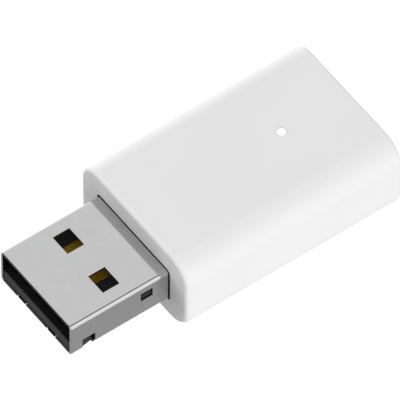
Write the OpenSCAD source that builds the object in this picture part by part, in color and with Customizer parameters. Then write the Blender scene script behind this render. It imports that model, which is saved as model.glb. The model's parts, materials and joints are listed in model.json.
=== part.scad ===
// USB-powered wireless audio receiver dongle: a white one-piece sleeve around a
// circuit board, with a USB type A plug at the front and a 3.5 mm audio socket
// in the inset rear cap.
//
// Frame: the origin is on the plug's axis, in the plane of the sleeve's front
// face. +Y runs from the plug towards the rear cap, +Z is out of the face with
// the status light, X is across the width. Millimetres.

/* [Housing] */
// Width of the white sleeve
body_w = 17.9; // [17.5:0.1:18.5]
// Length of the white sleeve, front face to rear rim
body_len = 26.65; // [26.3:0.05:27.5]
// Thickness of the white sleeve, underside to top
body_h = 10.0; // [9.9:0.1:10.4]
// Height of the sleeve's centre above the plug's axis
body_rise = 0.15; // [0.1:0.05:0.2]
// Wall thickness of the sleeve
wall = 1.1; // [1.0:0.05:1.15]
// Radius of the four long edges
edge_r = 2.7; // [2.3:0.1:3.0]
// Radius of the soft edge around the front face
front_r = 0.5; // [0.4:0.1:0.8]
// Radius of the small break around the rear rim
rim_r = 0.2; // [0.1:0.05:0.25]

/* [Status light] */
// Diameter of the light pipe's visible dot
light_d = 1.02; // [0.9:0.02:1.3]
// Distance of the dot behind the front face
light_y = 18.2; // [17.9:0.05:18.6]
// Distance of the dot to the side of the sleeve's centre line
light_x = 0.15; // [0:0.05:0.3]

/* [USB plug] */
// Width of the plug's steel shell
plug_w = 12.0; // [11.9:0.05:12.05]
// Height of the plug's steel shell
plug_h = 4.5; // [4.45:0.05:4.55]
// Length of the plug that stands out of the front face
plug_out = 12.0; // [11.75:0.05:12.2]
// Thickness of the shell's sheet steel
plug_t = 0.3; // [0.28:0.01:0.32]
// Width of the dark gap around the shell in the front face
plug_gap = 0.15; // [0.1:0.05:0.25]

/* [Audio socket] */
// Bore of the socket's collar, for a 3.5 mm plug
jack_bore = 3.6; // [3.56:0.02:3.66]
// Outside diameter of the collar that shows in the rear cap
jack_nose = 4.9; // [4.8:0.1:5.2]

/* [Circuit board] */
// Thickness of the board
board_t = 0.8; // [0.7:0.05:0.85]
// Width of the board
board_w = 14.6; // [14.2:0.1:14.6]

/* [Hidden] */
$fn = 64;

over = 1;                       // how far cutters run past what they cut

// sleeve and cap
half_w = body_w / 2;
half_h = body_h / 2;
in_top = body_rise + half_h - wall;     // ceiling of the cavity
in_side = half_w - wall;        // half width of the cavity
in_r = edge_r - wall;           // corner radius of the cavity
cap_t = 1.5;                    // thickness of the rear cap's plate
cap_in = body_len - cap_t;      // the ledge that the cap seats on
lip = 0.25;                     // width of that ledge

// board
board_z = 2.35;                 // underside of the board
board_top = board_z + board_t;
board_y0 = wall + 0.4;
board_y1 = cap_in - 0.6;
pin_top = board_top + 0.15;     // how far soldered pins stand out of the board

// plug shell
shell_x = plug_w / 2;
shell_z = plug_h / 2;
shell_back = 5.0;               // rear end of the shell, inside the sleeve
shell_legs = [2.2, 3.9];        // front edges of the soldering legs on each side
shell_leg_w = 0.8;

// plug contacts
contact_xs = [-3.5, -1, 1, 3.5];
tail_y = 5.475;                 // row of the four contact tails
contact_w = 1.0;
contact_t = 0.25;
contact_top = 0.1;              // top surface of the contacts
contact_pin_w = 0.6;            // width of the pin through the board
// front end of a contact: the outer two reach further forward
function contact_front(x) = abs(x) > 2 ? -10.85 : -9.85;

// audio socket
jack_y0 = 12.0;                 // open front end of the audio socket
jack_y1 = cap_in - 0.05;
jack_w = 6.0;
jack_z = 2.3;                   // half height of the audio socket
peg_ys = [14.6, 22.4];          // pegs that locate the socket in the board
spring_w = 1.2;
// socket contacts: [side, y of the spring's root, y of its contact point]
tip = [1, 13.1, 15.6];
ring = [-1, 21.9, 18.9];
ground = [1, 18.7, 22.0];
leg_t = 0.2;                    // thickness of a terminal's leg
leg_w = 0.6;
leg_near = 0.15;                // distance of the leg behind the spring's root
leg_x = jack_w / 2 - leg_t / 2; // centre of the legs

// the way a contact spring points along the socket, how far it reaches, and
// where its leg stands
function way(contact) = contact[2] > contact[1] ? 1 : -1;
function reach_of(contact) = abs(contact[2] - contact[1]);
function leg_y(contact) = contact[1] - way(contact) * (leg_near + leg_w / 2);

gold = [0.78, 0.6, 0.2];
chip_black = [0.13, 0.13, 0.14];

// ---------- shared shapes ----------

// flat rounded rectangle, centred
module rrect(w, h, r) {
    square([w - 2 * r, h], center = true);
    square([w, h - 2 * r], center = true);
    for (sx = [-1, 1], sy = [-1, 1])
        translate([sx * (w / 2 - r), sy * (h / 2 - r)]) circle(r);
}

// a shape drawn in X and Z, swept from y0 to y1
module sweep_y(y0, y1) {
    translate([0, y1, 0]) rotate([90, 0, 0]) linear_extrude(y1 - y0) children();
}

// a shape drawn in Y and Z, extruded along +X
module extrude_x(length) {
    rotate([90, 0, 90]) linear_extrude(length) children();
}

// cylinder along +Y that starts at height y on the plug's axis
module rod_y(y, r, length) {
    translate([0, y, 0]) rotate([-90, 0, 0]) cylinder(r = r, h = length);
}

// block from its low corner to its high corner
module block(low, high) {
    translate(low) cube(high - low);
}

// the children and their mirror image across X = 0
module both_sides() {
    children();
    mirror([1, 0, 0]) children();
}

// ---------- housing ----------

rail_end = 20.8;                // rear end of the board rails
hook_y = 21.0;                  // front end of the cap's snap hooks
hook_back = 22.6;               // rear face of the hook's nose
hook_z0 = -1.9;
hook_z1 = 1.1;

// half section of the sleeve: radius or reach across, length along,
// soft at the front and slightly broken at the rear
module long_section(reach) {
    square([reach - front_r, body_len]);
    translate([0, front_r]) square([reach, body_len - front_r - rim_r]);
    translate([reach - front_r, front_r]) circle(front_r);
    translate([0, body_len / 2]) square([reach - rim_r, body_len / 2]);
    translate([reach - rim_r, body_len - rim_r]) circle(rim_r);
}

// outside of the sleeve, solid
module sleeve_outside() {
    translate([0, 0, body_rise]) {
        for (sx = [-1, 1], sz = [-1, 1])
            translate([sx * (half_w - edge_r), 0, sz * (half_h - edge_r)])
                rotate([-90, 0, 0]) rotate_extrude() long_section(edge_r);
        translate([0, 0, edge_r - half_h]) linear_extrude(2 * (half_h - edge_r))
            both_sides() long_section(half_w);
        // the mirror swaps the section's axes, so that its length lies along Y
        translate([edge_r - half_w, 0, 0]) extrude_x(2 * (half_w - edge_r))
            mirror([1, -1]) both_sides() long_section(half_h);
    }
}

// cross-section of the cavity, grown on every side
module cavity_section(grow) {
    translate([0, body_rise])
        rrect(2 * (in_side + grow), 2 * (half_h - wall + grow), in_r + grow);
}

// one-piece sleeve: front wall with the plug opening, open rear with a ledge
module housing_sleeve() {
    root = 0.2;                 // how far the rails sink into the walls
    color([0.93, 0.93, 0.93]) difference() {
        union() {
            difference() {
                sleeve_outside();
                sweep_y(wall, cap_in + 0.001) cavity_section(0);
                sweep_y(cap_in, body_len + over) cavity_section(lip);
            }
            // rails under and over the long edges of the board; the upper ones
            // start behind the plug's soldered legs
            both_sides() {
                block([in_side - 1.15, wall - root, board_z - 0.85],
                      [in_side + root, rail_end, board_z - 0.03]);
                block([in_side - 1.95, 5.4, board_top + 0.04],
                      [in_side - 1.35, rail_end, in_top + root]);
            }
        }
        // opening for the plug
        sweep_y(-over, wall + over)
            rrect(plug_w + 2 * plug_gap, plug_h + 2 * plug_gap + 0.1, 0.5);
        // hole for the light pipe
        translate([light_x, light_y, in_top - over]) cylinder(r = light_d / 2 + 0.02, h = 3);
        // pockets for the cap's snap hooks
        both_sides()
            block([in_side - 0.1, hook_y + 0.1, hook_z0 - 0.1],
                  [in_side + 0.5, hook_back + 0.2, hook_z1 + 0.1]);
    }
}

// inset rear cap with the socket's hole, two snap hooks and two board rests
module rear_cap() {
    arm_out = in_side - 0.1;    // outer face of the hook's arm
    nose_out = in_side + 0.4;   // outer face of the hook's nose
    root_y = cap_in + 0.2;      // arms and rests sink into the plate up to here
    color([0.92, 0.92, 0.92]) difference() {
        union() {
            sweep_y(cap_in, body_len) cavity_section(lip - 0.05);
            both_sides() {
                block([in_side - 0.6, hook_y, hook_z0], [arm_out, root_y, hook_z1]);
                // hook with a sloping nose
                translate([0, 0, hook_z0]) linear_extrude(hook_z1 - hook_z0)
                    polygon([[in_side - 0.2, hook_y], [arm_out, hook_y],
                             [nose_out, hook_y + 1], [nose_out, hook_back],
                             [in_side - 0.2, hook_back]]);
                // board rest
                block([4.2, 23.3, board_z - 0.95], [5.8, root_y, board_z - 0.02]);
            }
        }
        rod_y(cap_in - over, jack_nose / 2 + 0.05, cap_t + 2 * over);
    }
}

// light pipe: a short rod through the top wall on a wider foot over the lamp
module light_pipe() {
    rod_sink = 0.3;             // how far the rod reaches down into the foot
    foot_t = 0.35;
    foot_r = 0.95;
    color([1, 1, 1]) translate([light_x, light_y, in_top]) {
        translate([0, 0, -rod_sink]) cylinder(r = light_d / 2, h = wall + rod_sink);
        translate([0, 0, -foot_t]) cylinder(r = foot_r, h = foot_t);
    }
}

// ---------- circuit board ----------

// round holes for contact pins, terminal legs and socket pegs: [x, y]
board_holes = concat(
    [for (x = contact_xs) [x, tail_y]],
    [for (contact = [tip, ring, ground]) [contact[0] * leg_x, leg_y(contact)]],
    [for (y = peg_ys) [0, y]]);
board_hole_r = 0.45;
board_corner_r = 0.6;

module circuit_board() {
    slot_gap = 0.1;             // clearance around the shell's legs
    color([0.05, 0.28, 0.16]) difference() {
        translate([0, (board_y0 + board_y1) / 2, board_z]) linear_extrude(board_t)
            rrect(board_w, board_y1 - board_y0, board_corner_r);
        for (hole = board_holes)
            translate([hole[0], hole[1], board_z - over])
                cylinder(r = board_hole_r, h = board_t + 2 * over);
        // slots for the shell's soldering legs
        both_sides() for (y = shell_legs)
            block([shell_x - plug_t - slot_gap, y - slot_gap, board_z - over],
                  [shell_x + slot_gap, y + shell_leg_w + slot_gap, board_top + over]);
    }
}

// ---------- USB plug ----------

window_x = 3.015;               // centres of the windows in top and bottom
mouth_notch_x = 2.5;            // centres of the notches in the mouth's lower lip

// thin cut along the middle of the shell's underside, with one dovetail
module shell_seam() {
    seam_w = 0.08;
    edge = seam_w / 2;
    front_end = -9.5;           // the straight cut stops here for the dovetail
    rear_start = -7.4;          // and goes on from here
    translate([0, 0, -shell_z - over]) linear_extrude(plug_t + over + 0.05) {
        translate([-edge, -plug_out - over])
            square([seam_w, front_end + plug_out + over]);
        translate([-edge, rear_start]) square([seam_w, shell_back + over - rear_start]);
        difference() {
            polygon([[-edge, -9.6], [1.14, -10.0], [1.14, -6.9], [-edge, -7.3]]);
            polygon([[-0.13, -9.48], [1.06, -9.88], [1.06, -7.02], [-0.13, -7.42]]);
        }
    }
}

// folded steel shell with latch windows, a lower seam and soldering legs
module usb_shell() {
    window = [2.47, 2.0, 1.2];
    window_y = -5.8;
    leg_base = 1.2;             // height where the legs start on the side walls
    notch_top = -0.68;          // upper edge of the lower notches
    color([0.72, 0.72, 0.73]) difference() {
        union() {
            difference() {
                sweep_y(-plug_out, shell_back) rrect(plug_w, plug_h, 0.45);
                sweep_y(-plug_out - over, shell_back + over)
                    rrect(plug_w - 2 * plug_t, plug_h - 2 * plug_t, 0.1);
            }
            both_sides() for (y = shell_legs)
                block([shell_x - plug_t, y, leg_base], [shell_x, y + shell_leg_w, pin_top]);
        }
        // windows in the top and in the bottom
        for (sx = [-1, 1], sz = [-1, 1])
            translate([sx * window_x, window_y, sz * shell_z]) cube(window, center = true);
        both_sides() {
            // latch window at the rear of each side
            block([shell_x - 1, -3.43, 0.05], [shell_x + over, -2.0, 1.2]);
            // notch that takes out the lower bend near the mouth, longer in the side
            block([shell_x - 1.1, -10.6, -shell_z - over], [shell_x + over, -9.3, notch_top]);
            block([shell_x - plug_t - 0.1, -9.4, -1.75], [shell_x + over, -9.06, notch_top]);
            // relief slot between the two legs
            block([shell_x - 1, shell_legs[0] + shell_leg_w, shell_z - 0.9],
                  [shell_x + over, shell_legs[1], shell_z + 2]);
        }
        // relief notches in the lower lip of the mouth
        for (x = [-mouth_notch_x, mouth_notch_x])
            block([x - 0.75, -plug_out - over, -shell_z - over],
                  [x + 0.75, -plug_out + 0.3, -shell_z + plug_t + 0.01]);
        shell_seam();
    }
}

// black insulator: a tongue in the lower half of the mouth and a rear block
module usb_insulator() {
    fit = 0.03;                 // gap to the inside of the shell
    half_x = shell_x - plug_t - fit;
    half_z = shell_z - plug_t - fit;
    head_front = -plug_out + 0.12;
    head_back = -9.0;
    groove = contact_w / 2 + 0.02;      // half width of the contact grooves
    color([0.09, 0.09, 0.1]) difference() {
        union() {
            // wide head of the tongue, chamfered along its top front edge
            translate([-half_x, 0, 0]) extrude_x(2 * half_x)
                polygon([[head_front, -half_z], [head_back, -half_z], [head_back, 0],
                         [head_front + 0.5, 0], [head_front, -0.68]]);
            // narrower rest of the tongue
            block([-half_x + 0.55, head_back - 0.1, -half_z], [half_x - 0.55, -3.5, 0]);
            // feet that fill the relief notches in the shell's lower lip
            for (x = [-mouth_notch_x, mouth_notch_x])
                block([x - 0.57, -plug_out + 0.02, 0.02 - shell_z],
                      [x + 0.57, -plug_out + 0.28, 0.05 - half_z]);
            // tapered cheeks that fill the front of the shell's lower notches
            both_sides() translate([0, 0, -half_z]) linear_extrude(1.2)
                polygon([[half_x - 0.2, -10.57], [half_x + 0.22, -10.57],
                         [half_x + 0.04, -9.38], [half_x - 0.2, -9.38]]);
            // rear block
            block([-half_x, -3.6, -half_z], [half_x, shell_back - 0.1, half_z]);
            // catches that show in the shell's side windows
            both_sides() block([half_x - 0.1, -3.2, 0.38], [half_x + 0.2, -2.2, 0.62]);
        }
        // relief behind the cheeks
        both_sides() block([half_x - 0.4, -9.36, -1.6], [half_x + over, -8.9, over]);
        for (x = contact_xs) {
            front = contact_front(x);
            // groove and channel for the contact
            block([x - groove, front - 0.1, contact_top - contact_t - 0.01],
                  [x + groove, shell_back + over, contact_top + 0.02]);
            // hollow where its front end dips into the tongue
            block([x - groove, front - 0.15, -0.85], [x + groove, front + 0.55, 0.5]);
        }
        // recesses in the underside, at the lower windows
        for (x = [-window_x, window_x])
            block([x - 1.1, -6.7, -half_z - over], [x + 1.1, -4.9, -half_z + 0.45]);
    }
}

// quarter ring of contact strip around the origin, in the upper left quadrant
bend_r = 0.35;                  // outer radius of a contact's bends
module contact_bend() {
    intersection() {
        difference() {
            circle(bend_r);
            circle(bend_r - contact_t);
        }
        translate([-bend_r - over, 0]) square(bend_r + over);
    }
}

// one spring contact: front end turned down, flat run, tail turned up to the board
module usb_contact(x) {
    front = contact_front(x);
    lip_h = 0.35;                       // straight part below the front bend
    tail_h = 1.1;                       // full-width part above the rear bend
    flat_z = contact_top - contact_t;   // underside of the flat run
    flat_y0 = front + bend_r;
    flat_y1 = tail_y + contact_t / 2 - bend_r;
    tail_z = flat_z + bend_r;
    pin_z = tail_z + tail_h - 0.1;
    tail_front = tail_y - contact_t / 2;
    color(gold) translate([x - contact_w / 2, 0, 0]) {
        extrude_x(contact_w) {
            translate([flat_y0, flat_z]) square([flat_y1 - flat_y0, contact_t]);
            translate([flat_y0, contact_top - bend_r]) contact_bend();
            translate([front, contact_top - bend_r - lip_h]) square([contact_t, lip_h]);
            translate([flat_y1, tail_z]) rotate(180) contact_bend();
            translate([tail_front, tail_z]) square([contact_t, tail_h]);
        }
        // narrower pin through the board
        translate([(contact_w - contact_pin_w) / 2, 0, 0]) extrude_x(contact_pin_w)
            translate([tail_front, pin_z]) square([contact_t, pin_top - pin_z]);
    }
}
module usb_contact_vbus() { usb_contact(contact_xs[0]); }
module usb_contact_dminus() { usb_contact(contact_xs[1]); }
module usb_contact_dplus() { usb_contact(contact_xs[2]); }
module usb_contact_gnd() { usb_contact(contact_xs[3]); }

// ---------- audio socket ----------

collar_y = 23.6;                // where the close bore starts
knuckle_r = 0.22;               // rolled root of each contact spring
knuckle_x = 2.68;               // distance of the spring roots from the axis
spring_t = 0.16;
seat_x = 2.3;                   // inner face of a terminal
seat_back = 0.8;                // length of a terminal behind the spring's root
leg_far = leg_near + leg_w;

// puts a contact that is drawn at +X on its own side
module on_side(contact) {
    mirror([contact[0] < 0 ? 1 : 0, 0, 0]) children();
}

// block between two distances along the way of a spring, measured from its root
module along(contact, from, to, x0, x1, z0, z1) {
    root = contact[1];
    a = way(contact) * from;
    b = way(contact) * to;
    block([x0, root + min(a, b), z0], [x1, root + max(a, b), z1]);
}

// window in the socket's side wall for one contact spring and its terminal
module spring_window(contact) {
    half = spring_w / 2;
    side = jack_w / 2;
    on_side(contact) {
        along(contact, -0.05, reach_of(contact) + 1.05,
              0.9, side + over, -half - 0.08, half + 0.08);
        // seat of the terminal and the groove of its leg
        along(contact, -seat_back, 0, seat_x, side + over, -half, half);
        along(contact, -leg_far, -leg_near, side - leg_t, side + over, 0, jack_z + over);
    }
}

// black socket body with the collar that fills the rear cap's hole
module jack_housing() {
    collar_root = 0.5;          // how far the collar sinks into the body
    lead_in = 0.31;             // depth and widening of the mouth's chamfer
    color([0.08, 0.08, 0.085]) difference() {
        union() {
            block([-jack_w / 2, jack_y0, -jack_z], [jack_w / 2, jack_y1, jack_z]);
            rod_y(jack_y1 - collar_root, jack_nose / 2, body_len - jack_y1 + collar_root);
            for (y = peg_ys) translate([0, y, jack_z - 0.5]) cylinder(r = 0.4, h = 1.2);
        }
        // close bore through the collar, wider bore in front of it
        rod_y(collar_y - 0.5, jack_bore / 2, 10);
        rod_y(jack_y0 - over, jack_bore / 2 + 0.2, collar_y - jack_y0 + over);
        // lead-in at the mouth
        translate([0, body_len - 0.3, 0]) rotate([-90, 0, 0])
            cylinder(r1 = jack_bore / 2, r2 = jack_bore / 2 + lead_in, h = lead_in);
        spring_window(tip);
        spring_window(ring);
        spring_window(ground);
    }
}

// fixed root of a contact: a seat behind the spring's rolled end and a leg
// that rises beside the socket and through the board
module jack_terminal(contact) {
    half = spring_w / 2;
    side = jack_w / 2;
    color(gold) on_side(contact) {
        difference() {
            along(contact, -seat_back, -0.06, seat_x, side, -half, half);
            translate([knuckle_x, contact[1], -2]) cylinder(r = knuckle_r + 0.05, h = 4);
        }
        along(contact, -leg_far, -leg_near, side - leg_t, side, half - 0.1, pin_top);
    }
}
module jack_tip_terminal() { jack_terminal(tip); }
module jack_ring_terminal() { jack_terminal(ring); }
module jack_ground_terminal() { jack_terminal(ground); }

// centre line of a contact leaf, seen from above with its root at [knuckle_x, 0]:
// a straight run, an arc round the contact point and a flared free end
point_x = 1.38;                 // distance of the contact point from the axis
point_r = 0.42;                 // radius of the arc at the contact point
flare = 38;                     // angle of the free end
flare_len = 0.5;
arc_steps = 8;
leaf_start = [knuckle_x + 0.08, 0];
function leaf_centre(reach) = [point_x + spring_t / 2 + point_r, reach];
// angle of the straight run, tangent to the arc
function leaf_lean(reach) =
    let (run = leaf_centre(reach) - leaf_start)
    atan2(-run[0], run[1]) + asin(point_r / norm(run));
// stations of the centre line: [[x, y], angle]
function leaf_line(reach) =
    let (centre = leaf_centre(reach), lean = leaf_lean(reach))
    concat([[leaf_start, lean]],
        [for (i = [0:arc_steps])
            let (turn = lean - (lean + flare) * i / arc_steps)
            [centre + point_r * [-cos(turn), -sin(turn)], turn]],
        [[centre + point_r * [-cos(flare), sin(flare)]
            + flare_len * [sin(flare), cos(flare)], -flare]]);
// a station moved sideways by a distance
function beside(station, dist) = station[0] + dist * [cos(station[1]), sin(station[1])];
function leaf_outline(reach) =
    let (line = leaf_line(reach), last = len(line) - 1)
    concat([for (i = [0:last]) beside(line[i], spring_t / 2)],
           [for (i = [last:-1:0]) beside(line[i], -spring_t / 2)]);

// moving leaf of a contact: rolled root, inclined strip, rounded contact point
// that stands into the bore, and a free end that turns out again
module jack_spring(contact) {
    color([0.8, 0.66, 0.3]) on_side(contact)
        translate([0, contact[1], -spring_w / 2])
            mirror([0, way(contact) < 0 ? 1 : 0, 0]) linear_extrude(spring_w) {
                translate([knuckle_x, 0]) circle(knuckle_r);
                polygon(leaf_outline(reach_of(contact)));
            }
}
module jack_tip_spring() { jack_spring(tip); }
module jack_ring_spring() { jack_spring(ring); }
module jack_ground_spring() { jack_spring(ground); }

// ---------- components on the board ----------

// flat-lead package hanging under the board, leads along two sides
// at: centre [x, y]; size: body width, length and depth below the board
module lead_package(at, size, leads, pitch, lead_out) {
    half_lead = 0.18;
    translate([at[0], at[1], board_z]) {
        block([-size[0] / 2, -size[1] / 2, -size[2]], [size[0] / 2, size[1] / 2, -0.1]);
        both_sides() for (i = [0:leads - 1]) {
            y = (i - (leads - 1) / 2) * pitch;
            block([size[0] / 2 - 0.05, y - half_lead, -0.15],
                  [size[0] / 2 + lead_out, y + half_lead, 0]);
        }
    }
}

// audio and radio chip: flat square package with pads on four sides
module bluetooth_soc() {
    half = 2;
    depth = 0.85;
    pads = 8;                   // on each side
    pitch = 0.4;
    half_pad = 0.1;
    color(chip_black) translate([-1.2, 9.45, board_z]) difference() {
        union() {
            block([-half, -half, -depth], [half, half, -0.04]);
            for (side = [0:3], i = [0:pads - 1]) {
                x = (i - (pads - 1) / 2) * pitch;
                rotate([0, 0, 90 * side])
                    block([x - half_pad, half - 0.35, -0.2], [x + half_pad, half + 0.02, 0]);
            }
        }
        // index dimple of the first pad
        translate([-1.5, -1.5, -depth - over]) cylinder(r = 0.2, h = over + 0.05);
    }
}

// settings memory in a small eight-pad package
module config_memory() {
    color(chip_black) lead_package(at = [-5.05, 9.4], size = [1.7, 2.4, 0.8],
        leads = 4, pitch = 0.6, lead_out = 0.22);
}

// linear regulator for the 3.3 V rail
module voltage_regulator() {
    color([0.14, 0.14, 0.15]) lead_package(at = [3.35, 9.3], size = [1.5, 2.8, 1.05],
        leads = 3, pitch = 0.95, lead_out = 0.5);
}

// power inductor: square ferrite body on two end plates
module power_inductor() {
    plate_t = 0.1;
    color([0.25, 0.25, 0.27]) {
        block([3.75, 12.4, board_z - 1.2], [6.05, 14.5, board_z - plate_t]);
        for (x = [3.75, 5.45])
            block([x, 12.5, board_z - plate_t], [x + 0.6, 14.4, board_z]);
    }
}

// crystal: metal lid on a ceramic base
module crystal() {
    base_top = board_top + 0.25;
    color([0.75, 0.75, 0.72]) {
        block([-4.3, 8.9, board_top], [-1.8, 10.9, base_top]);
        block([-4.15, 9.05, base_top], [-1.95, 10.75, board_top + 0.55]);
    }
}

// ceramic chip antenna near the rear end of the board
module chip_antenna() {
    color([0.82, 0.82, 0.78])
        block([1.9, 21.6, board_top], [5.1, 23.2, board_top + 0.6]);
}

// lamp under the light pipe: base with a clear moulded top
module status_led() {
    color([0.95, 0.93, 0.8]) translate([light_x, light_y, board_top]) {
        block([-0.8, -0.4, 0], [0.8, 0.4, 0.2]);
        block([-0.55, -0.4, 0.2], [0.55, 0.4, 0.45]);
    }
}

// surge protector across the data lines
module esd_protector() {
    color(chip_black) {
        block([-0.75, 7.0, board_top + 0.04], [0.75, 8.2, board_top + 0.6]);
        for (x = [-0.5, 0, 0.5], y = [6.8, 8.05])
            block([x - 0.12, y, board_top], [x + 0.12, y + 0.35, board_top + 0.12]);
    }
}

// one chip component on the top face (up) or the underside, centred on part's
// [x, y], with slightly thicker end caps; size: length, width, height
module chip_part(part, size, turned, up) {
    end_len = size[0] * 0.22;
    translate([part[0], part[1], up ? board_top : board_z - size[2]])
        rotate([0, 0, turned ? 90 : 0]) {
            translate([-size[0] * 0.3, -size[1] / 2 + 0.02, 0.02])
                cube([size[0] * 0.6, size[1] - 0.04, size[2] - 0.04]);
            for (x = [-size[0] / 2, size[0] / 2 - end_len])
                translate([x, -size[1] / 2, 0]) cube([end_len, size[1], size[2]]);
        }
}

// two large capacitors in the audio outputs
module output_capacitors() {
    color([0.72, 0.6, 0.42])
        for (y = [15.0, 19.0]) chip_part([-4.95, y], [3.2, 1.6, 1.5], true, false);
}

// small ceramic capacitors: [x, y, turned, up]
small_caps = [
    [-2.2, 13.0, false, true], [-2.2, 14.0, false, true], [2.4, 9.0, true, true],
    [3.4, 9.0, true, true], [4.4, 9.0, true, true], [1.6, 12.6, false, true],
    [-4.6, 12.6, true, true], [4.6, 18.9, true, true], [5.6, 9.0, true, false],
    [5.6, 16.4, true, false], [-3.9, 6.9, true, false]];
module ceramic_capacitors() {
    color([0.74, 0.62, 0.45])
        for (part = small_caps) chip_part(part, [1.0, 0.5, 0.5], part[2], part[3]);
}

// small resistors, all on the top face: [x, y, turned]
small_resistors = [
    [-2.2, 15.0, false], [-2.2, 16.0, false], [1.6, 17.0, true],
    [1.6, 13.6, false], [1.6, 14.6, false], [-2.4, 18.3, true],
    [5.0, 12.6, true], [-4.6, 15.2, true], [2.4, 7.0, false]];
module chip_resistors() {
    color([0.12, 0.12, 0.13])
        for (part = small_resistors) chip_part(part, [1.0, 0.5, 0.35], part[2], true);
}

// three ferrite beads: the two audio lines and the supply line
module ferrite_beads() {
    color([0.3, 0.3, 0.31])
        for (part = [[4.9, 17.4], [4.9, 20.0], [5.6, 6.9]])
            chip_part(part, [1.6, 0.8, 0.8], true, false);
}

// solder fillet of base radius r on the board's top face, around a
// rectangular pin
module fillet(x, y, pin_x, pin_y, r = 0.72) {
    difference() {
        translate([x, y, board_top]) cylinder(r1 = r, r2 = r * 0.55, h = 0.28);
        block([x - pin_x / 2, y - pin_y / 2, board_top - over],
              [x + pin_x / 2, y + pin_y / 2, board_top + over]);
    }
}
module solder_joints() {
    color([0.7, 0.7, 0.71]) {
        for (x = contact_xs) fillet(x, tail_y, contact_pin_w, contact_t);
        for (contact = [tip, ring, ground])
            fillet(contact[0] * leg_x, leg_y(contact), leg_t, leg_w);
        both_sides() for (y = shell_legs)
            fillet(shell_x - plug_t / 2, y + shell_leg_w / 2, plug_t, shell_leg_w, r = 0.76);
    }
}

housing_sleeve();
rear_cap();
light_pipe();
circuit_board();
usb_shell();
usb_insulator();
usb_contact_vbus();
usb_contact_dminus();
usb_contact_dplus();
usb_contact_gnd();
jack_housing();
jack_tip_terminal();
jack_ring_terminal();
jack_ground_terminal();
jack_tip_spring();
jack_ring_spring();
jack_ground_spring();
bluetooth_soc();
config_memory();
voltage_regulator();
power_inductor();
crystal();
chip_antenna();
status_led();
esd_protector();
output_capacitors();
ceramic_capacitors();
chip_resistors();
ferrite_beads();
solder_joints();
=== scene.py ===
"""A small USB audio receiver with a rear jack, drawn over its CAD pieces.

The long axis is Y: the steel plug points to -Y, the white sleeve starts at y = 0 and the
rear cap with the jack hole closes its +Y end. Z is up, with the dot of the light pipe in
the upper face. Pieces are drawn in millimetres and scaled to metres when placed.
"""
import bpy
import bmesh
import json
import math
from mathutils import Vector, Matrix


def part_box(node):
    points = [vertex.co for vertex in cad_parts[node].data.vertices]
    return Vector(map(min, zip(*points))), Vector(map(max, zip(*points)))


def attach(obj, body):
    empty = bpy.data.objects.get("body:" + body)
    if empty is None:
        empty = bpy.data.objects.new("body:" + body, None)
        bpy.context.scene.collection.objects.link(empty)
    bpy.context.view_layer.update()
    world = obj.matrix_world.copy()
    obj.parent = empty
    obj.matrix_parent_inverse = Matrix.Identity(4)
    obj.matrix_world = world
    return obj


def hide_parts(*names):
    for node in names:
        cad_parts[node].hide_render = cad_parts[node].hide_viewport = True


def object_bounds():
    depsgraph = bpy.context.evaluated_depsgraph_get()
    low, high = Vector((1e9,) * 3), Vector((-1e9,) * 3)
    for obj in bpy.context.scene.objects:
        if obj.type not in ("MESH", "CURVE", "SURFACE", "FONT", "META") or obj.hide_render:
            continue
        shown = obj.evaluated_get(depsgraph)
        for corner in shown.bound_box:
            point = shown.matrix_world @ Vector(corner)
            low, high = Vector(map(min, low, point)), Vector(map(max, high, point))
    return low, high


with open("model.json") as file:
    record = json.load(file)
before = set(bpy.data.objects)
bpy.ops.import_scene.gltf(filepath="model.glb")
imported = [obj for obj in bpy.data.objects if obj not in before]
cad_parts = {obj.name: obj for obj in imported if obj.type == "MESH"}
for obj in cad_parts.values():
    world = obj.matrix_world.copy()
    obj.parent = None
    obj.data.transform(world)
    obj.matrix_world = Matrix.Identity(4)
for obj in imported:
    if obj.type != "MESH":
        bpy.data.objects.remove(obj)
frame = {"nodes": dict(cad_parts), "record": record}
CAD_LO, CAD_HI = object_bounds()
NODES = frame["nodes"]
SLOT = {part["node"]: part["material_slot"] for part in frame["record"]["subparts"]}
SCENE = bpy.context.scene
COLL = SCENE.collection
MM = 0.001


# ---------------------------------------------------------------- driving sizes, mm
def box_mm(node):
    """Low and high corner of a CAD node."""
    lo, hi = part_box(node)
    return [c * 1000 for c in lo], [c * 1000 for c in hi]


SHELL_LO, SHELL_HI = box_mm("usb_shell")
SHELL_X = SHELL_HI[0]         # half width
SHELL_Z = -SHELL_LO[2]        # half height
SHELL_FRONT = SHELL_LO[1]
SHEET = 0.3                   # steel thickness

SLEEVE_LO, SLEEVE_HI = box_mm("housing_sleeve")
LENGTH = SLEEVE_HI[1]
HALF_X = SLEEVE_HI[0]
HALF_Z = (SLEEVE_HI[2] - SLEEVE_LO[2]) / 2
MID_Z = (SLEEVE_LO[2] + SLEEVE_HI[2]) / 2
EDGE_R = 2.7                  # long edges
WALL = 1.1
INNER_X = HALF_X - WALL
INNER_Z = HALF_Z - WALL
INNER_R = EDGE_R - WALL
LEDGE_Y = LENGTH - 1.5        # the cap plate rests here

CAP_LO, CAP_HI = box_mm("rear_cap")
PIPE_LO, PIPE_HI = box_mm("light_pipe")
PIPE_CENTRE = ((PIPE_LO[0] + PIPE_HI[0]) / 2, (PIPE_LO[1] + PIPE_HI[1]) / 2, 0)
BOARD_LO, BOARD_HI = box_mm("circuit_board")

CORNER_STEPS = 16             # segments of a rounded rectangle's corner
LATHE_STEPS = 72


# ---------------------------------------------------------------- mesh helpers
def link(name, bm):
    """A new object from a bmesh."""
    bmesh.ops.recalc_face_normals(bm, faces=bm.faces)
    mesh = bpy.data.meshes.new(name)
    bm.to_mesh(mesh)
    bm.free()
    ob = bpy.data.objects.new(name, mesh)
    COLL.objects.link(ob)
    return ob


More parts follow.
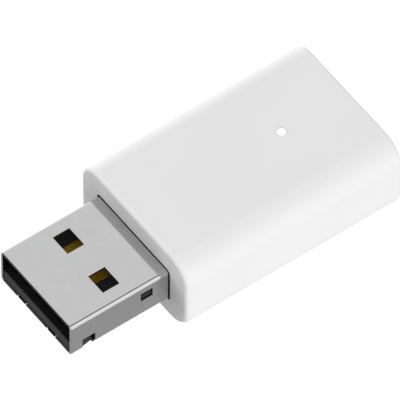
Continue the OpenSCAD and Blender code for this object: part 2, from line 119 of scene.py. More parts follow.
def modify(ob, name, kind, **settings):
    """Adds a modifier with its settings."""
    mod = ob.modifiers.new(name, kind)
    for key, value in settings.items():
        setattr(mod, key, value)


def boolean(ob, tool, operation):
    """Adds or cuts tool from ob, and removes the tool."""
    modify(ob, "cut", "BOOLEAN", operation=operation, object=tool, solver="EXACT")
    graph = bpy.context.evaluated_depsgraph_get()
    graph.update()
    mesh = bpy.data.meshes.new_from_object(ob.evaluated_get(graph))
    ob.modifiers.clear()
    old = ob.data
    ob.data = mesh
    bpy.data.meshes.remove(old)
    tool_mesh = tool.data
    bpy.data.objects.remove(tool)
    bpy.data.meshes.remove(tool_mesh)


def rounded_rect(half_x, half_z, radius, centre_z=0.0, grow=0.0):
    """Points of a rounded rectangle in X and Z, offset outwards by grow."""
    half_x, half_z, radius = half_x + grow, half_z + grow, radius + grow
    points = []
    for side_x, side_z, start in ((1, 1, 0), (-1, 1, 90), (-1, -1, 180), (1, -1, 270)):
        for i in range(CORNER_STEPS + 1):
            a = math.radians(start + 90.0 * i / CORNER_STEPS)
            points.append((side_x * (half_x - radius) + radius * math.cos(a),
                           centre_z + side_z * (half_z - radius) + radius * math.sin(a)))
    return points


def quarter(steps, first=0):
    """Sine and cosine at even steps over a quarter turn, for rounded edges."""
    angles = [math.radians(90 * k / steps) for k in range(first, steps + 1)]
    return [(math.sin(a), math.cos(a)) for a in angles]


def bridge(bm, one, other):
    """Quads between two rings of equal count."""
    n = len(one)
    for i in range(n):
        j = (i + 1) % n
        bm.faces.new((one[i], one[j], other[j], other[i]))


def tube_of_rings(name, rings):
    """Surface through (outline, y) rings of equal count, the last joined to the first."""
    bm = bmesh.new()
    loops = [[bm.verts.new((x, y, z)) for x, z in outline] for outline, y in rings]
    for one, other in zip(loops, loops[1:]):
        bridge(bm, one, other)
    bridge(bm, loops[-1], loops[0])
    return link(name, bm)


def lathe(name, profile, centre):
    """Solid turned about Z: profile is (radius, z), with both ends on the axis."""
    bm = bmesh.new()
    n = LATHE_STEPS
    rings = []
    for r, z in profile:
        if r == 0:
            rings.append([bm.verts.new((0, 0, z))])
        else:
            rings.append([bm.verts.new((r * math.cos(2 * math.pi * i / n),
                                        r * math.sin(2 * math.pi * i / n), z))
                          for i in range(n)])
    for low, high in zip(rings, rings[1:]):
        for i in range(n):
            j = (i + 1) % n
            if len(low) == 1:
                bm.faces.new((low[0], high[i], high[j]))
            elif len(high) == 1:
                bm.faces.new((low[i], high[0], low[j]))
            else:
                bm.faces.new((low[i], high[i], high[j], low[j]))
    bm.transform(Matrix.Translation(centre))
    return link(name, bm)


def boxes(name, spans, bevel=0.0, segments=2):
    """Separate boxes from low corner to high corner, with edges rounded by bevel."""
    bm = bmesh.new()
    for lo, hi in spans:
        for v in bmesh.ops.create_cube(bm, size=1.0)["verts"]:
            v.co = Vector([(l + h) / 2 + c * (h - l) for l, h, c in zip(lo, hi, v.co)])
    if bevel:
        bmesh.ops.bevel(bm, geom=bm.edges[:], offset=bevel, segments=segments,
                        profile=0.5, affect="EDGES", clamp_overlap=True)
    return link(name, bm)


def sided(side, lo, hi):
    """The span of a box drawn on the +X side, kept there or mirrored for side -1."""
    return ((min(side * lo[0], side * hi[0]), lo[1], lo[2]),
            (max(side * lo[0], side * hi[0]), hi[1], hi[2]))


def prism(name, outline, z_lo, z_hi):
    """A polygon in X and Y swept along Z."""
    bm = bmesh.new()
    low = [bm.verts.new((x, y, z_lo)) for x, y in outline]
    high = [bm.verts.new((x, y, z_hi)) for x, y in outline]
    bridge(bm, low, high)
    bm.faces.new(low)
    bm.faces.new(list(reversed(high)))
    return link(name, bm)


def smooth(ob, angle):
    """Smooth faces, with edges sharp from the angle up and flats kept flat."""
    bm = bmesh.new()
    bm.from_mesh(ob.data)
    for f in bm.faces:
        f.smooth = True
    limit = math.radians(angle)
    for e in bm.edges:
        if len(e.link_faces) == 2:
            e.smooth = e.calc_face_angle(0.0) < limit
    bm.to_mesh(ob.data)
    bm.free()
    modify(ob, "flats", "WEIGHTED_NORMAL", keep_sharp=True, weight=80)


def place(ob, node, slot):
    """Millimetres to metres, then onto the receiver in place of a CAD node."""
    ob.data.transform(Matrix.Scale(MM, 4))
    ob.data.materials.clear()
    ob.data.materials.append(MAT[slot])
    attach(ob, "receiver")
    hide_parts(node)


# ---------------------------------------------------------------- node graphs
class Graph:
    """Builds the node tree of a material or a world."""

    def __init__(self, owner):
        owner.use_nodes = True
        self.tree = owner.node_tree
        self.tree.nodes.clear()

    def put(self, socket, value):
        """Links an output to the socket, or sets its value. Colours are RGB."""
        if isinstance(value, bpy.types.NodeSocket):
            self.tree.links.new(value, socket)
        elif socket.type == "RGBA":
            socket.default_value = (*value, 1)
        else:
            socket.default_value = value

    def fill(self, node, **inputs):
        """Sets inputs by name, with _ for a space."""
        for key, value in inputs.items():
            self.put(node.inputs[key.replace("_", " ")], value)

    def node(self, kind, **inputs):
        node = self.tree.nodes.new("ShaderNode" + kind)
        self.fill(node, **inputs)
        return node

    def math(self, operation, first, second=0.0):
        node = self.node("Math")
        node.operation = operation
        for socket, value in zip(node.inputs, (first, second, 0.0)):
            self.put(socket, value)
        return node.outputs[0]

    def chain(self, operation, values):
        total = values[0]
        for value in values[1:]:
            total = self.math(operation, total, value)
        return total

    def times(self, *values):
        return self.chain("MULTIPLY", values)

    def plus(self, *values):
        return self.chain("ADD", values)

    def inverse(self, value):
        return self.math("SUBTRACT", 1.0, value)

    def largest(self, first, second):
        return self.math("MAXIMUM", first, second)

    def remap(self, value, span=(0.3, 0.7), to=(0, 1), eased=False):
        """Takes the span to another range. The default span is the usual one of a noise."""
        node = self.node("MapRange", Value=value, From_Min=span[0], From_Max=span[1],
                         To_Min=to[0], To_Max=to[1])
        if eased:
            node.interpolation_type = "SMOOTHSTEP"
        return node.outputs[0]


class Material(Graph):
    """A principled material. Coordinates are object space in millimetres."""

    def __init__(self, name):
        self.material = bpy.data.materials.new(name)
        super().__init__(self.material)
        output = self.node("OutputMaterial")
        self.surface = self.node("BsdfPrincipled")
        self.put(output.inputs[0], self.surface.outputs[0])
        coord = self.node("TexCoord")
        self.mm = self.node("Mapping", Scale=(1000, 1000, 1000),
                            Vector=coord.outputs["Object"]).outputs[0]

    def set(self, **inputs):
        self.fill(self.surface, **inputs)

    def noise(self, scale, detail=2.0, rough=0.5, stretch=None):
        vector = self.mm
        if stretch:
            vector = self.node("Mapping", Scale=stretch, Vector=self.mm).outputs[0]
        return self.node("TexNoise", Scale=scale, Detail=detail, Roughness=rough,
                         Vector=vector).outputs["Fac"]

    def mix(self, share, first, second):
        """first where share is 0, second where it is 1."""
        node = self.node("Mix")
        node.data_type = "RGBA"
        # inputs 6 and 7 are the colours A and B, output 2 the mixed colour
        for index, value in ((0, share), (6, first), (7, second)):
            self.put(node.inputs[index], value)
        return node.outputs[2]

    def bump(self, height, depth):
        """Bump whose height 0 to 1 stands for depth millimetres."""
        return self.node("Bump", Strength=1.0, Distance=depth * MM, Height=height).outputs[0]

    def split(self, vector):
        return list(self.node("SeparateXYZ", Vector=vector).outputs)

    def axes(self):
        return self.split(self.mm)

    def normal(self):
        """The object-space normal along each axis."""
        return self.split(self.node("TexCoord").outputs["Normal"])

    def step(self, value, edge, soft=0.004):
        """0 below the edge, 1 above it."""
        return self.remap(value, span=(edge - soft, edge + soft), eased=True)

    def before(self, value, edge, soft=0.004):
        """1 below the edge, 0 above it."""
        return self.inverse(self.step(value, edge, soft))

    def openness(self, reach, power):
        """1 in the open, towards 0 within reach millimetres of other faces."""
        node = self.node("AmbientOcclusion", Distance=reach * MM)
        node.samples = 6
        return self.math("POWER", node.outputs["AO"], power)


# ---------------------------------------------------------------- materials
# light that enters the shell's windows fades out at these two places along Y
LIT_FRONT = dict(edge=-8.2, soft=0.6)
LIT_REAR = dict(edge=-1.2, soft=0.4)
PORT_FACE_Y = SHELL_FRONT + 0.2   # painted light at the plug's mouth ends here


def white_plastic(name, value, rough, grain=1.0):
    s = Material(name)
    fine = s.noise(scale=16.0, detail=3.0, rough=0.6)
    mid = s.noise(scale=3.2)
    wide = s.noise(scale=0.12)
    light = (value, value, value * 1.004)
    dim = (value * 0.985, value * 0.985, value * 0.985)
    mottle = (value * 0.985, value * 0.985, value * 0.987)
    tint = s.mix(s.remap(wide, span=(0.35, 0.65)), light, dim)
    tint = s.mix(s.remap(mid, to=(0.0, 0.5)), tint, mottle)
    # painted highlight: the colour goes towards white where the upper long edge on the +X side
    # turns from the top to the side
    normal_x, _, normal_z = s.normal()
    edge_highlight = s.times(s.remap(normal_z, span=(0.0, 0.72)), s.remap(normal_x, span=(0.0, 0.25)))
    highlight_share = 0.66
    tint = s.mix(s.times(edge_highlight, highlight_share), tint, (1.0, 1.0, 1.0))
    # painted shade in the narrow gaps behind the outer faces, darker where other faces are near
    y = s.axes()[1]
    inside = s.step(y, edge=0.03, soft=0.02)
    painted_shading = s.largest(s.openness(reach=0.5, power=1.6), s.inverse(inside))
    gap_shade = (0.10, 0.10, 0.10)
    tint = s.mix(painted_shading, gap_shade, tint)
    s.set(Base_Color=tint,
          Roughness=s.plus(s.remap(fine, to=(rough - 0.05, rough + 0.05)),
                           s.remap(wide, to=(-0.03, 0.03))),
          IOR=1.46, Specular_IOR_Level=0.35)
    fine_share, ripple_share = 0.7, 0.5
    height = s.plus(s.times(fine, fine_share),
                    s.times(s.noise(scale=5.0, detail=1.0), ripple_share))
    s.set(Normal=s.bump(height, depth=0.0022 * grain))
    return s.material


def steel(name):
    s = Material(name)
    streak = s.noise(scale=1.0, detail=3.0, rough=0.6, stretch=(22, 0.45, 22))
    cloud = s.noise(scale=0.5, detail=3.0, rough=0.55)
    speck = s.noise(scale=9.0, rough=0.6)
    bright, dull, streaked = (0.585, 0.585, 0.588), (0.562, 0.562, 0.566), (0.50, 0.50, 0.502)
    base = s.mix(s.remap(cloud), bright, dull)
    base = s.mix(s.remap(streak, span=(0.62, 0.78), to=(0, 0.10)), base, streaked)
    rough = s.plus(s.remap(streak, to=(0.06, 0.10)),
                   s.remap(speck, span=(0.45, 0.75), to=(0.0, 0.03)))

    # torn and oxidised metal on the cut faces of the sheet
    x, y, z = s.axes()
    off_x, off_z = s.math("ABSOLUTE", x), s.math("ABSOLUTE", z)
    facing_x, facing_y, facing_z = [s.math("ABSOLUTE", n) for n in s.normal()]
    ends = s.remap(facing_y, span=(0.45, 0.8))
    near_sheet = 0.29         # just less than the sheet thickness
    turned = dict(edge=0.6, soft=0.15)
    flat_cut = s.times(s.step(off_z, edge=SHELL_Z - near_sheet), s.step(facing_x, **turned),
                       s.before(off_x, edge=SHELL_X - 0.45))
    side_cut = s.times(s.step(off_x, edge=SHELL_X - near_sheet), s.step(facing_z, **turned),
                       s.before(off_z, edge=SHELL_Z - 0.42))
    cut = s.largest(ends, s.largest(flat_cut, side_cut))
    torn = s.noise(scale=1.0, detail=3.0, rough=0.6, stretch=(9, 9, 9))
    torn_dark, torn_pale = (0.16, 0.16, 0.165), (0.26, 0.26, 0.265)
    base = s.mix(cut, base, s.mix(torn, torn_dark, torn_pale))
    rough = s.plus(rough, s.times(cut, s.remap(torn, to=(0.22, 0.34))))

    # painted highlight: the upright front edges of the mouth are pale matt grey instead of metal,
    # so they show bright
    wear_and_painted_light = s.times(ends, s.times(s.step(off_x, edge=SHELL_X - 0.33, soft=0.03),
                                 s.before(y, edge=PORT_FACE_Y)))
    highlight_dim, highlight_bright = (0.38, 0.38, 0.38), (0.46, 0.46, 0.46)
    base = s.mix(wear_and_painted_light, base, s.mix(torn, highlight_dim, highlight_bright))

    # throws little light back on the matt face behind it
    held_back = 0.9
    diffuse_ray = s.node("LightPath").outputs["Is Diffuse Ray"]
    base = s.mix(s.times(diffuse_ray, held_back), base, (0.0, 0.0, 0.0))
    s.set(Base_Color=base, Metallic=s.inverse(wear_and_painted_light), Roughness=rough)

    # what little light bounces about inside the shell behind the windows
    skin = 0.25               # faces nearer the outside than this take none
    glow = 0.005
    within = s.inverse(s.largest(s.step(off_x, edge=SHELL_X - skin),
                                 s.step(off_z, edge=SHELL_Z - skin)))
    within = s.times(within, s.before(y, **LIT_REAR))
    s.set(Emission_Color=(1.0, 1.0, 1.0),
          Emission_Strength=s.times(within, s.step(y, **LIT_FRONT), glow))
    streak_share, speck_share = 0.6, 0.4
    s.set(Normal=s.bump(s.plus(s.times(streak, streak_share), s.times(speck, speck_share)),
                        depth=0.00035))
    return s.material


def black_plastic(name, value, rough):
    s = Material(name)
    fine = s.noise(scale=24.0, rough=0.6)
    wide = s.noise(scale=0.8)
    dark = (value, value, value * 1.04)
    pale = (value * 1.35, value * 1.34, value * 1.36)
    s.set(Base_Color=s.mix(s.remap(wide), dark, pale),
          Roughness=s.remap(fine, to=(rough - 0.06, rough + 0.08)),
          Specular_IOR_Level=0.45, Normal=s.bump(fine, depth=0.003))
    return s.material


def insulator(name):
    """Black moulding: painted lighter grey, with scuffs, on the faces that meet a port and on the
    cheeks; painted shade keeps it near black inside, a little paler where window light falls.
    """
    s = Material(name)
    fine = s.noise(scale=24.0, rough=0.6)
    wide = s.noise(scale=0.8)
    scuff = s.noise(scale=1.0, stretch=(2, 14, 14))
    x, y, _ = s.axes()
    normal_x, normal_y, _ = s.normal()
    front = s.times(s.step(s.times(normal_y, -1.0), edge=0.85, soft=0.1),
                    s.times(s.before(y, edge=PORT_FACE_Y),
                            s.step(y, edge=SHELL_FRONT + 0.07)))
    cheek = s.times(s.step(s.math("ABSOLUTE", normal_x), edge=0.75, soft=0.1),
                    s.step(s.math("ABSOLUTE", x), edge=SHELL_X - 0.42))
    # each surface varies between two colours
    # painted shade: near black inside the shell, with painted light a little paler behind the
    # windows
    painted_shading = s.mix(s.remap(wide), (0.005, 0.005, 0.005), (0.008, 0.008, 0.008))
    window_lit_tone = s.mix(s.remap(wide), (0.032, 0.032, 0.035), (0.040, 0.040, 0.043))
    painted_shading = s.mix(s.step(y, **LIT_FRONT), painted_shading, window_lit_tone)
    # painted light: the faces towards the port, and partly the cheeks, are a paler grey with
    # scuff noise
    wear_and_painted_light = s.mix(s.remap(scuff), (0.062, 0.062, 0.062), (0.074, 0.074, 0.074))
    cheek_light_share = 0.3
    base = s.mix(s.largest(front, s.times(cheek, cheek_light_share)), painted_shading, wear_and_painted_light)
    clean_shine, added_shine = 0.03, 0.22
    s.set(Base_Color=base, Roughness=s.remap(fine, to=(0.42, 0.56)),
          Specular_IOR_Level=s.plus(clean_shine, s.times(s.largest(front, cheek), added_shine)),
          Normal=s.bump(fine, depth=0.003))
    # light that leaks in through the windows and bounces about inside the shell
    glow = 0.0035
    behind = s.times(s.step(y, **LIT_FRONT), s.before(y, **LIT_REAR))
    s.set(Emission_Color=(1.0, 1.0, 1.05), Emission_Strength=s.times(behind, glow))
    return s.material


def plated(name, color, rough, dark=0.75, metal=1.0):
    """Plated metal, with patches of wear down to dark times its colour."""
    s = Material(name)
    streak = s.noise(scale=1.0, stretch=(30, 1.2, 30))
    cloud = s.noise(scale=1.4)
    wear_and_painted_light = tuple(c * dark for c in color)
    s.set(Base_Color=s.mix(s.remap(cloud, span=(0.35, 0.7), to=(0, 0.7)), color, wear_and_painted_light),
          Metallic=metal, Roughness=s.remap(streak, to=(rough - 0.04, rough + 0.07)),
          Normal=s.bump(streak, depth=0.0006))
    return s.material


def glowing_pipe(name):
    s = Material(name)
    fine = s.noise(scale=10.0)
    s.set(Base_Color=(0.98, 0.98, 0.98), Roughness=s.remap(fine, to=(0.18, 0.3)),
          Emission_Color=(1, 1, 1),
          Emission_Strength=s.remap(s.noise(scale=1.5, detail=1.0), to=(0.28, 0.34)),
          Normal=s.bump(fine, depth=0.002))
    return s.material


def board(name):
    """Green mask over copper: raised tracks, vias and the weave of the laminate."""
    s = Material(name)
    weave = s.noise(scale=6.0, rough=0.6)
    fine = s.noise(scale=20.0, rough=0.6)
    # two brick patterns whose joints are the tracks: brick width, row height, shift
    patterns = []
    for width, row, shift in ((1.7, 0.52, (0.11, 0.07, 0.0)), (2.9, 0.9, (0.37, 0.21, 0.0))):
        moved = s.node("Mapping", Location=shift, Vector=s.mm).outputs[0]
        bricks = s.node("TexBrick", Vector=moved, Scale=1.0, Mortar_Size=0.05,
                        Mortar_Smooth=0.2, Brick_Width=width, Row_Height=row)
        patterns.append(bricks.outputs["Fac"])
    tracks = s.largest(*patterns)
    cells = s.node("TexVoronoi", Scale=1.1, Vector=s.mm).outputs["Distance"]
    via = s.before(cells, edge=0.10, soft=0.01)
    mask_dark, mask_pale = (0.012, 0.105, 0.045), (0.016, 0.125, 0.055)
    track_green, via_copper = (0.035, 0.21, 0.085), (0.62, 0.42, 0.14)
    track_share, via_metal = 0.8, 0.9
    base = s.mix(s.remap(weave), mask_dark, mask_pale)
    base = s.mix(s.times(tracks, track_share), base, track_green)
    base = s.mix(via, base, via_copper)
    s.set(Base_Color=base, Roughness=s.remap(fine, to=(0.24, 0.36)),
          Metallic=s.times(via, via_metal), Specular_IOR_Level=0.45)
    track_height, weave_height = 1.0, 0.1
    s.set(Normal=s.bump(s.plus(s.times(tracks, track_height), s.times(weave, weave_height)),
                        depth=0.03))
    return s.material


def plain(name, color, rough, metal=0.0):
    s = Material(name)
    fine = s.noise(scale=14.0, rough=0.6)
    wide = s.noise(scale=1.6)
    s.set(Base_Color=s.mix(s.remap(wide), color, tuple(c * 0.88 for c in color)),
          Roughness=s.remap(fine, to=(rough - 0.05, rough + 0.08)), Metallic=metal,
          Specular_IOR_Level=0.4, Normal=s.bump(fine, depth=0.003))
    return s.material


# name, maker, and what the maker is given
MATERIALS = (
    ("white_housing", white_plastic, dict(value=0.90, rough=0.46)),
    ("white_cap", white_plastic, dict(value=0.88, rough=0.52, grain=1.2)),
    ("plug_steel", steel, {}),
    ("plug_insulator", insulator, {}),
    ("socket_plastic", black_plastic, dict(value=0.02, rough=0.32)),
    ("contact_gold", plated, dict(color=(0.75, 0.43, 0.015), rough=0.50, dark=0.92, metal=0.45)),
    ("terminal_metal", plated, dict(color=(0.72, 0.66, 0.5), rough=0.28)),
    ("spring_bronze", plated, dict(color=(0.80, 0.55, 0.22), rough=0.24)),
    ("light_pipe", glowing_pipe, {}),
    ("board_laminate", board, {}),
    ("chip_epoxy", plain, dict(color=(0.02, 0.02, 0.021), rough=0.5)),
    ("ferrite", plain, dict(color=(0.06, 0.06, 0.065), rough=0.55)),
    ("crystal_can", plain, dict(color=(0.6, 0.6, 0.58), rough=0.25, metal=1.0)),
    ("antenna_ceramic", plain, dict(color=(0.62, 0.66, 0.6), rough=0.5)),
    ("lamp_resin", plain, dict(color=(0.85, 0.82, 0.6), rough=0.2)),
    ("capacitor_ceramic", plain, dict(color=(0.42, 0.3, 0.17), rough=0.5)),
    ("resistor_glaze", plain, dict(color=(0.02, 0.02, 0.022), rough=0.25)),
    ("solder", plain, dict(color=(0.62, 0.62, 0.64), rough=0.22, metal=1.0)),
)
MAT = {name: make(name, **given) for name, make, given in MATERIALS}

# ---------------------------------------------------------------- white sleeve
FRONT_R, RIM_R = 0.5, 0.27    # rounding of the front face and of the rear rim
LIP_R = 0.035                 # rounding of the plug opening
RECESS_EDGE_R = 0.07          # rounding of the cap recess at the rim
PLUG_GAP = 0.15
OPEN_X = SHELL_X + PLUG_GAP
OPEN_Z = SHELL_Z + PLUG_GAP
OPEN_R = 0.5
RECESS = 0.25                 # how far the cap recess is wider than the cavity
SIDE_ROWS = 8                 # rows along the straight outer walls
RAIL_END = 20.8
DOT_HOLE_R = 0.53


def sleeve_tube():
    """From the plug opening over the outside to the rear rim, and back along the cavity."""
    def opening(grow):
        return rounded_rect(OPEN_X, OPEN_Z, OPEN_R, grow=grow)

    def outer(inset):
        return rounded_rect(HALF_X, HALF_Z, EDGE_R, MID_Z, grow=-inset)

    def recess(grow):
        return rounded_rect(INNER_X + RECESS, INNER_Z + RECESS, INNER_R + RECESS, MID_Z, grow)

    cavity = rounded_rect(INNER_X, INNER_Z, INNER_R, MID_Z)
    rings = [(opening(0), WALL), (opening(0), LIP_R)]
    for sin, cos in quarter(3, first=1):
        rings.append((opening(LIP_R * (1 - cos)), LIP_R * (1 - sin)))
    for sin, cos in quarter(10):
        rings.append((outer(FRONT_R * (1 - sin)), FRONT_R * (1 - cos)))
    for k in range(1, SIDE_ROWS):
        rings.append((outer(0), FRONT_R + (LENGTH - RIM_R - FRONT_R) * k / SIDE_ROWS))
    for sin, cos in quarter(5):
        rings.append((outer(RIM_R * (1 - cos)), LENGTH - RIM_R + RIM_R * sin))
    for sin, cos in quarter(3):
        rings.append((recess(RECESS_EDGE_R * (1 - sin)), LENGTH - RECESS_EDGE_R * (1 - cos)))
    rings += [(recess(0), LEDGE_Y), (cavity, LEDGE_Y), (cavity, WALL)]
    return tube_of_rings("white_sleeve", rings)


def build_sleeve():
    ob = sleeve_tube()
    ceiling = MID_Z + HALF_Z - WALL
    rails = []
    for side in (1, -1):
        # under the board, along the side wall
        rails.append(sided(side, (INNER_X - 1.15, WALL - 0.2, BOARD_LO[2] - 0.85),
                           (INNER_X + 0.2, RAIL_END, BOARD_LO[2] - 0.03)))
        # from the board up to the ceiling
        rails.append(sided(side, (INNER_X - 1.95, 5.4, BOARD_HI[2] + 0.04),
                           (INNER_X - 1.35, RAIL_END, ceiling + 0.2)))
    boolean(ob, boxes("rails", rails), "UNION")
    # the noses of the cap's arms sit in these
    pockets = [sided(side, (INNER_X - 0.1, 21.1, -2.0), (INNER_X + 0.5, 22.8, 1.2))
               for side in (1, -1)]
    boolean(ob, boxes("pockets", pockets), "DIFFERENCE")
    top = SLEEVE_HI[2]
    hole = [(0, top - 3), (DOT_HOLE_R, top - 3), (DOT_HOLE_R, top - 0.02),
            (DOT_HOLE_R + 0.006, top - 0.006), (DOT_HOLE_R + 0.02, top),
            (DOT_HOLE_R + 0.02, top + 1), (0, top + 1)]
    boolean(ob, lathe("dot_hole", hole, PIPE_CENTRE), "DIFFERENCE")
    smooth(ob, 30)
    place(ob, "housing_sleeve", "white_housing")


build_sleeve()

# ---------------------------------------------------------------- light pipe
PIPE_R = 0.51
FOOT_R = 0.95
FOOT_HEIGHT = 0.35


def build_pipe():
    """A round rod on a wider foot, its top level with the sleeve's upper face."""
    bottom, top = PIPE_LO[2], PIPE_HI[2]
    foot = bottom + FOOT_HEIGHT
    profile = [(0, bottom), (0.90, bottom), (FOOT_R, bottom + 0.05), (FOOT_R, foot - 0.03),
               (0.92, foot), (PIPE_R + 0.03, foot), (PIPE_R, foot + 0.03),
               (PIPE_R, top - 0.06), (PIPE_R - 0.02, top - 0.02),
               (PIPE_R - 0.07, top - 0.004), (PIPE_R * 0.5, top - 0.001), (0, top)]
    ob = lathe("dot_light_pipe", profile, PIPE_CENTRE)
    smooth(ob, 35)
    place(ob, "light_pipe", "light_pipe")


build_pipe()

# ---------------------------------------------------------------- rear cap
CAP_R = INNER_R + 0.2
CAP_EDGE_R = 0.12
CAP_STEP = 0.3                # longest edge round the plate
JACK_HOLE_R = 2.5
ARM_Z = (-1.9, 1.1)
NOSE_LENGTH = 1.6
NOSE_RAMP = 1.0


def cap_plate():
    half_x, half_z = CAP_HI[0], (CAP_HI[2] - CAP_LO[2]) / 2
    mid_z = (CAP_HI[2] + CAP_LO[2]) / 2

    def corners(inset):
        return rounded_rect(half_x, half_z, CAP_R, mid_z, grow=-inset)

    outline = corners(0)
    counts = [max(1, math.ceil(math.dist(point, following) / CAP_STEP))
              for point, following in zip(outline, outline[1:] + outline[:1])]

    def loop(inset):
        """The plate outline with its long edges divided."""
        points = corners(inset)
        divided = []
        for k, count in enumerate(counts):
            a, b = points[k], points[(k + 1) % len(points)]
            divided += [(a[0] + (b[0] - a[0]) * i / count, a[1] + (b[1] - a[1]) * i / count)
                        for i in range(count)]
        return divided

    base = loop(0)

    def hole(radius):
        """The outline's points drawn in to a circle."""
        return [(radius * x / math.hypot(x, z), radius * z / math.hypot(x, z))
                for x, z in base]

    rings = [(hole(JACK_HOLE_R), LEDGE_Y), (hole(JACK_HOLE_R), LENGTH - 0.12),
             (hole(JACK_HOLE_R + 0.03), LENGTH - 0.05), (hole(JACK_HOLE_R + 0.1), LENGTH)]
    for sin, cos in quarter(4):
        rings.append((loop(CAP_EDGE_R * (1 - sin)), LENGTH - CAP_EDGE_R * (1 - cos)))
    rings.append((loop(0), LEDGE_Y))
    return tube_of_rings("rear_cap_plate", rings)


def build_cap():
    ob = cap_plate()
    front, root = CAP_LO[1], LEDGE_Y + 0.2
    for side in (1, -1):
        arm = sided(side, (INNER_X - 0.6, front, ARM_Z[0]), (INNER_X - 0.1, root, ARM_Z[1]))
        shelf = sided(side, (4.2, 23.3, BOARD_LO[2] - 0.95), (5.8, root, BOARD_LO[2] - 0.02))
        boolean(ob, boxes("arm", [arm, shelf]), "UNION")
        nose = [(INNER_X - 0.2, front), (INNER_X - 0.1, front),
                (INNER_X + 0.4, front + NOSE_RAMP), (INNER_X + 0.4, front + NOSE_LENGTH),
                (INNER_X - 0.2, front + NOSE_LENGTH)]
        boolean(ob, prism("nose", [(side * x, y) for x, y in nose], *ARM_Z), "UNION")
    smooth(ob, 30)
    place(ob, "rear_cap", "white_cap")


build_cap()

# ---------------------------------------------------------------- plug shell
SHELL_R = 0.45                # long edges
SHELL_ARC_STEPS = 8
SHELL_REAR = SHELL_HI[1]
ROLL_R = 0.06                 # the stamping rolls the outer front edge over
ROLL = [ROLL_R * (1 - math.sin(math.radians(a))) for a in (90, 60, 30, 0)]
INNER_ROLL = (0.0, 0.05, 0.055)   # setback of the inner surface in the rolled rows
CUT_EDGE_R = 0.045

# windows and notches, as spans along X, Z or Y
TOP_RIGHT_X, TOP_LEFT_X = (1.71, 4.21), (-4.32, -1.80)
UNDER_X = (1.75, 4.25)        # on both sides
WINDOW_Y = (-6.8, -4.8)       # of the top and underside windows
SIDE_WINDOW_Z, SIDE_WINDOW_Y = (0.05, 1.2), (-3.43, -2.0)
LOW_NOTCH_Z = (-1.75, -0.68)  # in the sides; runs on round the lower edges
LOW_NOTCH_X = SHELL_X - 1.1
LOW_NOTCH_Y, LOW_NOTCH_EDGE_Y = (-10.6, -9.06), (-10.6, -9.3)
FRONT_NOTCH_X, FRONT_NOTCH_DEPTH = (1.75, 3.25), 0.3
LEG_NOTCH_X, LEG_NOTCH_Z, LEG_NOTCH_Y = 5.0, 1.35, (3.0, 3.9)

LEG_STARTS = (2.2, 3.9)
LEG_SPAN = (0.003, 0.797)     # from a leg's start
LEG_Z = 1.45
LEG_INSET = 0.006             # from both faces of the sheet
SEAM_HALF = 0.03

# grid places across the underside (+X half), up the side, over the top and along the plug
UNDER_STATIONS = (0, 0.9, UNDER_X[0], FRONT_NOTCH_X[1], UNDER_X[1], LOW_NOTCH_X)
SIDE_STATIONS = (*LOW_NOTCH_Z, SIDE_WINDOW_Z[0], 0.6, SIDE_WINDOW_Z[1], LEG_NOTCH_Z)
TOP_STATIONS = (LEG_NOTCH_X, TOP_RIGHT_X[1], 3.0, TOP_RIGHT_X[0], 0.6,
                -0.6, TOP_LEFT_X[1], -3.0, TOP_LEFT_X[0], -LEG_NOTCH_X)
ROWS = [SHELL_FRONT + setback for setback in ROLL] + [
    SHELL_FRONT + FRONT_NOTCH_DEPTH, -10.6, -9.3, -9.06, -7.9, -6.8, -5.8, -4.8,
    -3.43, -2.0, -1.0, 0.5, 2.2, 3.0, 3.9, 4.7, SHELL_REAR]


def shell_stations():
    """Points round the section as (x, z, normal x, normal z), from below, +X side first."""
    def arc(side_x, side_z, start):
        points = []
        for i in range(SHELL_ARC_STEPS + 1):
            a = math.radians(start + 90 * i / SHELL_ARC_STEPS)
            points.append((side_x * (SHELL_X - SHELL_R) + SHELL_R * math.cos(a),
                           side_z * (SHELL_Z - SHELL_R) + SHELL_R * math.sin(a),
                           math.cos(a), math.sin(a)))
        return points

    return ([(x, -SHELL_Z, 0, -1) for x in UNDER_STATIONS]
            + arc(1, -1, -90)
            + [(SHELL_X, z, 1, 0) for z in SIDE_STATIONS]
            + arc(1, 1, 0)
            + [(x, SHELL_Z, 0, 1) for x in TOP_STATIONS]
            + arc(-1, 1, 90)
            + [(-SHELL_X, z, -1, 0) for z in reversed(SIDE_STATIONS)]
            + arc(-1, -1, 180)
            + [(-x, -SHELL_Z, 0, -1) for x in reversed(UNDER_STATIONS[1:])])


def is_cut(x, z, normal_x, normal_z, y):
    """Whether the grid cell with this middle is left out."""
    def between(value, span):
        return span[0] < value < span[1]

    top, under, side = normal_z > 0.99, normal_z < -0.99, abs(normal_x) > 0.99
    return (
        (top and (between(x, TOP_RIGHT_X) or between(x, TOP_LEFT_X)) and between(y, WINDOW_Y))
        or (under and between(abs(x), UNDER_X) and between(y, WINDOW_Y))
        or (side and between(z, SIDE_WINDOW_Z) and between(y, SIDE_WINDOW_Y))
        or (z < LOW_NOTCH_Z[1] and abs(x) > LOW_NOTCH_X and between(y, LOW_NOTCH_EDGE_Y))
        or (between(z, LOW_NOTCH_Z) and between(y, LOW_NOTCH_Y))
        or (under and y < SHELL_FRONT + FRONT_NOTCH_DEPTH and between(abs(x), FRONT_NOTCH_X))
        or (abs(x) > LEG_NOTCH_X and z > LEG_NOTCH_Z and between(y, LEG_NOTCH_Y)))


